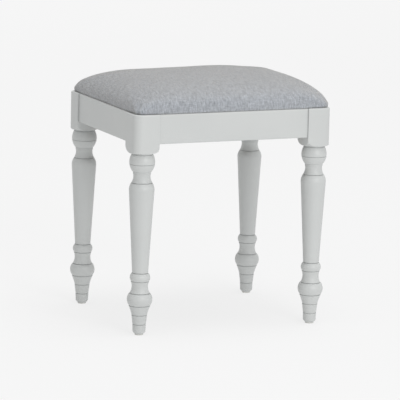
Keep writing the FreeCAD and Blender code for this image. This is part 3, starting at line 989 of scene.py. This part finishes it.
def makeScrew(name, screwSize, length):
    # head at the bottom, its bearing face at the origin and the point up
    headRadius, headHeight = screwSize["headRadius"], screwSize["headHeight"]
    shankRadius = screwSize["shankRadius"]
    pointLength = 2 * shankRadius
    tip = screwHead["tipShare"]
    deselect()
    bpy.ops.mesh.primitive_cylinder_add(vertices=32, radius=headRadius, depth=headHeight,
                                        location=(0, 0, -headHeight / 2))
    screw = named(name)
    selectFaces(screw, lambda centre, normal: normal.z < -0.9)
    bpy.ops.mesh.bevel(offset=headHeight * screwHead["rounding"], segments=5, affect="EDGES")
    selectFaces(screw, lambda centre, normal: normal.z > 0.9)
    bpy.ops.mesh.inset(thickness=headRadius - shankRadius)
    for rise in (length - pointLength, pointLength):
        bpy.ops.mesh.extrude_region_move(TRANSFORM_OT_translate={"value": (0, 0, rise)})
    bpy.ops.transform.resize(value=(tip, tip, 1))
    objectMode()
    cutters = []
    for turn in (0, 90):
        bpy.ops.mesh.primitive_cube_add(size=1, location=(0, 0, -headHeight))
        blade = bpy.context.object
        blade.scale = (headRadius * screwHead["bladeLength"], headRadius * screwHead["bladeWidth"],
                       headHeight * screwHead["bladeDepth"])
        blade.rotation_euler.z = math.radians(turn)
        blade = named("crossBlade")
        selectFaces(blade, lambda centre, normal: normal.z > 0.9)
        bpy.ops.transform.resize(value=(0.45, 0.7, 1) if turn == 0 else (0.7, 0.45, 1))
        objectMode()
        cutters.append(blade)
    for blade in cutters:
        cut = screw.modifiers.new("recess", "BOOLEAN")
        cut.operation = "DIFFERENCE"
        cut.solver = "EXACT"
        cut.object = blade
    applyModifiers(screw)
    for blade in cutters:
        bpy.data.objects.remove(blade)
    smooth(screw, 35)
    return screw


def placeSeatScrews():
    low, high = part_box("seat_screws")
    bearing = low[2] + seatScrew["headHeight"]
    spotX, spotY = high[0] - seatScrew["headRadius"], high[1] - seatScrew["headRadius"]
    screw = makeScrew("seatScrew", seatScrew, high[2] - bearing)
    copies = []
    for number, (signX, signY) in enumerate(((-1, -1), (1, -1), (1, 1), (-1, 1))):
        degrees = seatScrew["firstTurn"] + seatScrew["turnStep"] * number
        turn = Matrix.Rotation(math.radians(degrees), 4, "Z")
        place = Matrix.Translation((signX * spotX, signY * spotY, bearing)) @ turn
        copies.append(copyAt(screw, "seatScrew", place))
    bpy.data.objects.remove(screw)
    return joined(copies, "seatScrews")


def placeBraceScrews():
    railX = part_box("rail_right")[0][0]
    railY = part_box("rail_back")[0][1]
    braceLow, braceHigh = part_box("corner_brace_back_right")
    # the middle of the brace's mitred end on each rail
    endWidth = braceScrew["braceWidth"] * math.sqrt(2)
    endY = braceLow[1] + endWidth / 2
    endX = braceLow[0] + endWidth / 2
    middle = (braceLow[2] + braceHigh[2]) / 2
    screw = makeScrew("braceScrew", braceScrew, braceScrew["length"])
    copies = []
    for signX in (-1, 1):
        for signY in (-1, 1):
            toSide = Matrix.Rotation(math.radians(90 * signX), 4, "Y")
            spotX = railX - braceScrew["seat"]
            place = Matrix.Translation((signX * spotX, signY * endY, middle))
            copies.append(copyAt(screw, "braceScrew", place @ toSide))
            toEnd = Matrix.Rotation(math.radians(-90 * signY), 4, "X")
            spotY = railY - braceScrew["seat"]
            place = Matrix.Translation((signX * endX, signY * spotY, middle))
            copies.append(copyAt(screw, "braceScrew", place @ toEnd))
    bpy.data.objects.remove(screw)
    return joined(copies, "braceScrews")


seatScrews = placeSeatScrews()
finish(seatScrews, "zinc_steel", "seat_screws")
braceScrews = placeBraceScrews()
finish(braceScrews, "zinc_steel", "brace_screws")
print("screws ready")


# pale floor that keeps the stool's shadow, and the same pale tone all round
backdrop = {
    "tone": 0.9216,          # the pale tone that the camera sees
    "floorSize": 60.0,
    "nearTone": 0.947,
    "farTone": 1.036,
    "farPlace": 6.0,         # how far behind the stool the far tone is reached
    "ownLight": 0.80,        # share of the floor that keeps its tone, the rest takes shadow
    "bounceShare": 0.35,
    "bounceLight": 0.95,     # how strongly the floor lights the stool from below
    "floorColour": (0.93, 0.93, 0.93),
    "worldLight": 0.485,
}


def seenDirectly(tree):
    # rays from the camera, and those that gloss and glass send on
    ray = addNode(tree, "ShaderNodeLightPath")
    seen = calc(tree, "MAXIMUM", ray.outputs["Is Camera Ray"], ray.outputs["Is Glossy Ray"])
    return calc(tree, "MAXIMUM", seen, ray.outputs["Is Transmission Ray"])


def makeFloor():
    deselect()
    bpy.ops.mesh.primitive_plane_add(size=backdrop["floorSize"], location=(0, 0, 0))
    floor = named("floor")
    material = bpy.data.materials.new("paleFloor")
    material.use_nodes = True
    tree = material.node_tree
    tree.nodes.remove(tree.nodes["Principled BSDF"])
    seen = seenDirectly(tree)
    place = addNode(tree, "ShaderNodeTexCoord").outputs["Object"]
    behind = addNode(tree, "ShaderNodeSeparateXYZ", {0: place}).outputs[1]
    tone = addNode(tree, "ShaderNodeMapRange", {
        "Value": behind, "From Min": 0.0, "From Max": backdrop["farPlace"],
        "To Min": backdrop["nearTone"], "To Max": backdrop["farTone"]}).outputs[0]
    strength = addNode(tree, "ShaderNodeMapRange", {
        "Value": seen, "To Min": backdrop["bounceLight"], "To Max": 1.0}).outputs[0]
    share = addNode(tree, "ShaderNodeMapRange", {
        "Value": seen,
        "To Min": backdrop["bounceShare"], "To Max": backdrop["ownLight"]}).outputs[0]
    glow = addNode(tree, "ShaderNodeEmission", {
        "Color": (1, 1, 1, 1), "Strength": calc(tree, "MULTIPLY", tone, strength)})
    matt = addNode(tree, "ShaderNodeBsdfDiffuse", {"Color": (*backdrop["floorColour"], 1)})
    parts = {0: share, 1: matt.outputs[0], 2: glow.outputs[0]}
    both = addNode(tree, "ShaderNodeMixShader", parts)
    tree.links.new(both.outputs[0], tree.nodes["Material Output"].inputs["Surface"])
    floor.data.materials.append(material)


def makeWorld():
    world = bpy.data.worlds.new("paleStudio")
    bpy.context.scene.world = world
    world.use_nodes = True
    tree = world.node_tree
    tone = backdrop["tone"]
    seen = seenDirectly(tree)
    light = addNode(tree, "ShaderNodeBackground", {
        "Color": (1, 1, 1, 1), "Strength": backdrop["worldLight"]})
    shown = addNode(tree, "ShaderNodeBackground", {
        "Color": (tone, tone, tone, 1), "Strength": 1.0})
    parts = {0: seen, 1: light.outputs[0], 2: shown.outputs[0]}
    both = addNode(tree, "ShaderNodeMixShader", parts)
    tree.links.new(both.outputs[0], tree.nodes["World Output"].inputs["Surface"])


lamps = {
    "key": {"place": (0.42, -4.2, 1.7), "size": 2.0, "power": 60.0},
    "top": {"place": (0.3, -0.4, 4.6), "size": 2.6, "power": 69.0},
}
lampAim = Vector((0, 0, 0.3))


def makeLamps():
    for name, lamp in lamps.items():
        deselect()
        bpy.ops.object.light_add(type="AREA", location=lamp["place"])
        light = bpy.context.object
        light.name = name + "Lamp"
        light.data.shape = "SQUARE"
        light.data.size = lamp["size"]
        light.data.energy = lamp["power"]
        towards = lampAim - Vector(lamp["place"])
        light.rotation_euler = towards.to_track_quat("-Z", "Y").to_euler()


cameraView = {
    "azimuth": -23.35,
    "elevation": 10.05,
    "roll": 1.30,
    "distance": 6.201,
    "aim": (0.0070, 0.0, 0.2263),
    "lens": 283.3,
    "sensorWidth": 36,
}


def makeCamera():
    azimuth = math.radians(cameraView["azimuth"])
    elevation = math.radians(cameraView["elevation"])
    roll = math.radians(cameraView["roll"])
    back = Vector((math.sin(azimuth) * math.cos(elevation),
                   -math.cos(azimuth) * math.cos(elevation),
                   math.sin(elevation)))
    level = Vector((math.cos(azimuth), math.sin(azimuth), 0))
    upright = back.cross(level)
    right = level * math.cos(roll) + upright * math.sin(roll)
    up = upright * math.cos(roll) - level * math.sin(roll)
    place = Vector(cameraView["aim"]) + back * cameraView["distance"]
    deselect()
    bpy.ops.object.camera_add(location=place)
    camera = bpy.context.object
    camera.name = "photoCamera"
    camera.data.lens = cameraView["lens"]
    camera.data.sensor_width = cameraView["sensorWidth"]
    camera.data.clip_end = 100
    turned = Matrix((right, up, back)).transposed().to_4x4()
    camera.matrix_world = Matrix.Translation(place) @ turned
    bpy.context.scene.camera = camera


makeFloor()
makeWorld()
makeLamps()
makeCamera()
bpy.context.scene.view_settings.view_transform = "Standard"
print("studio ready")
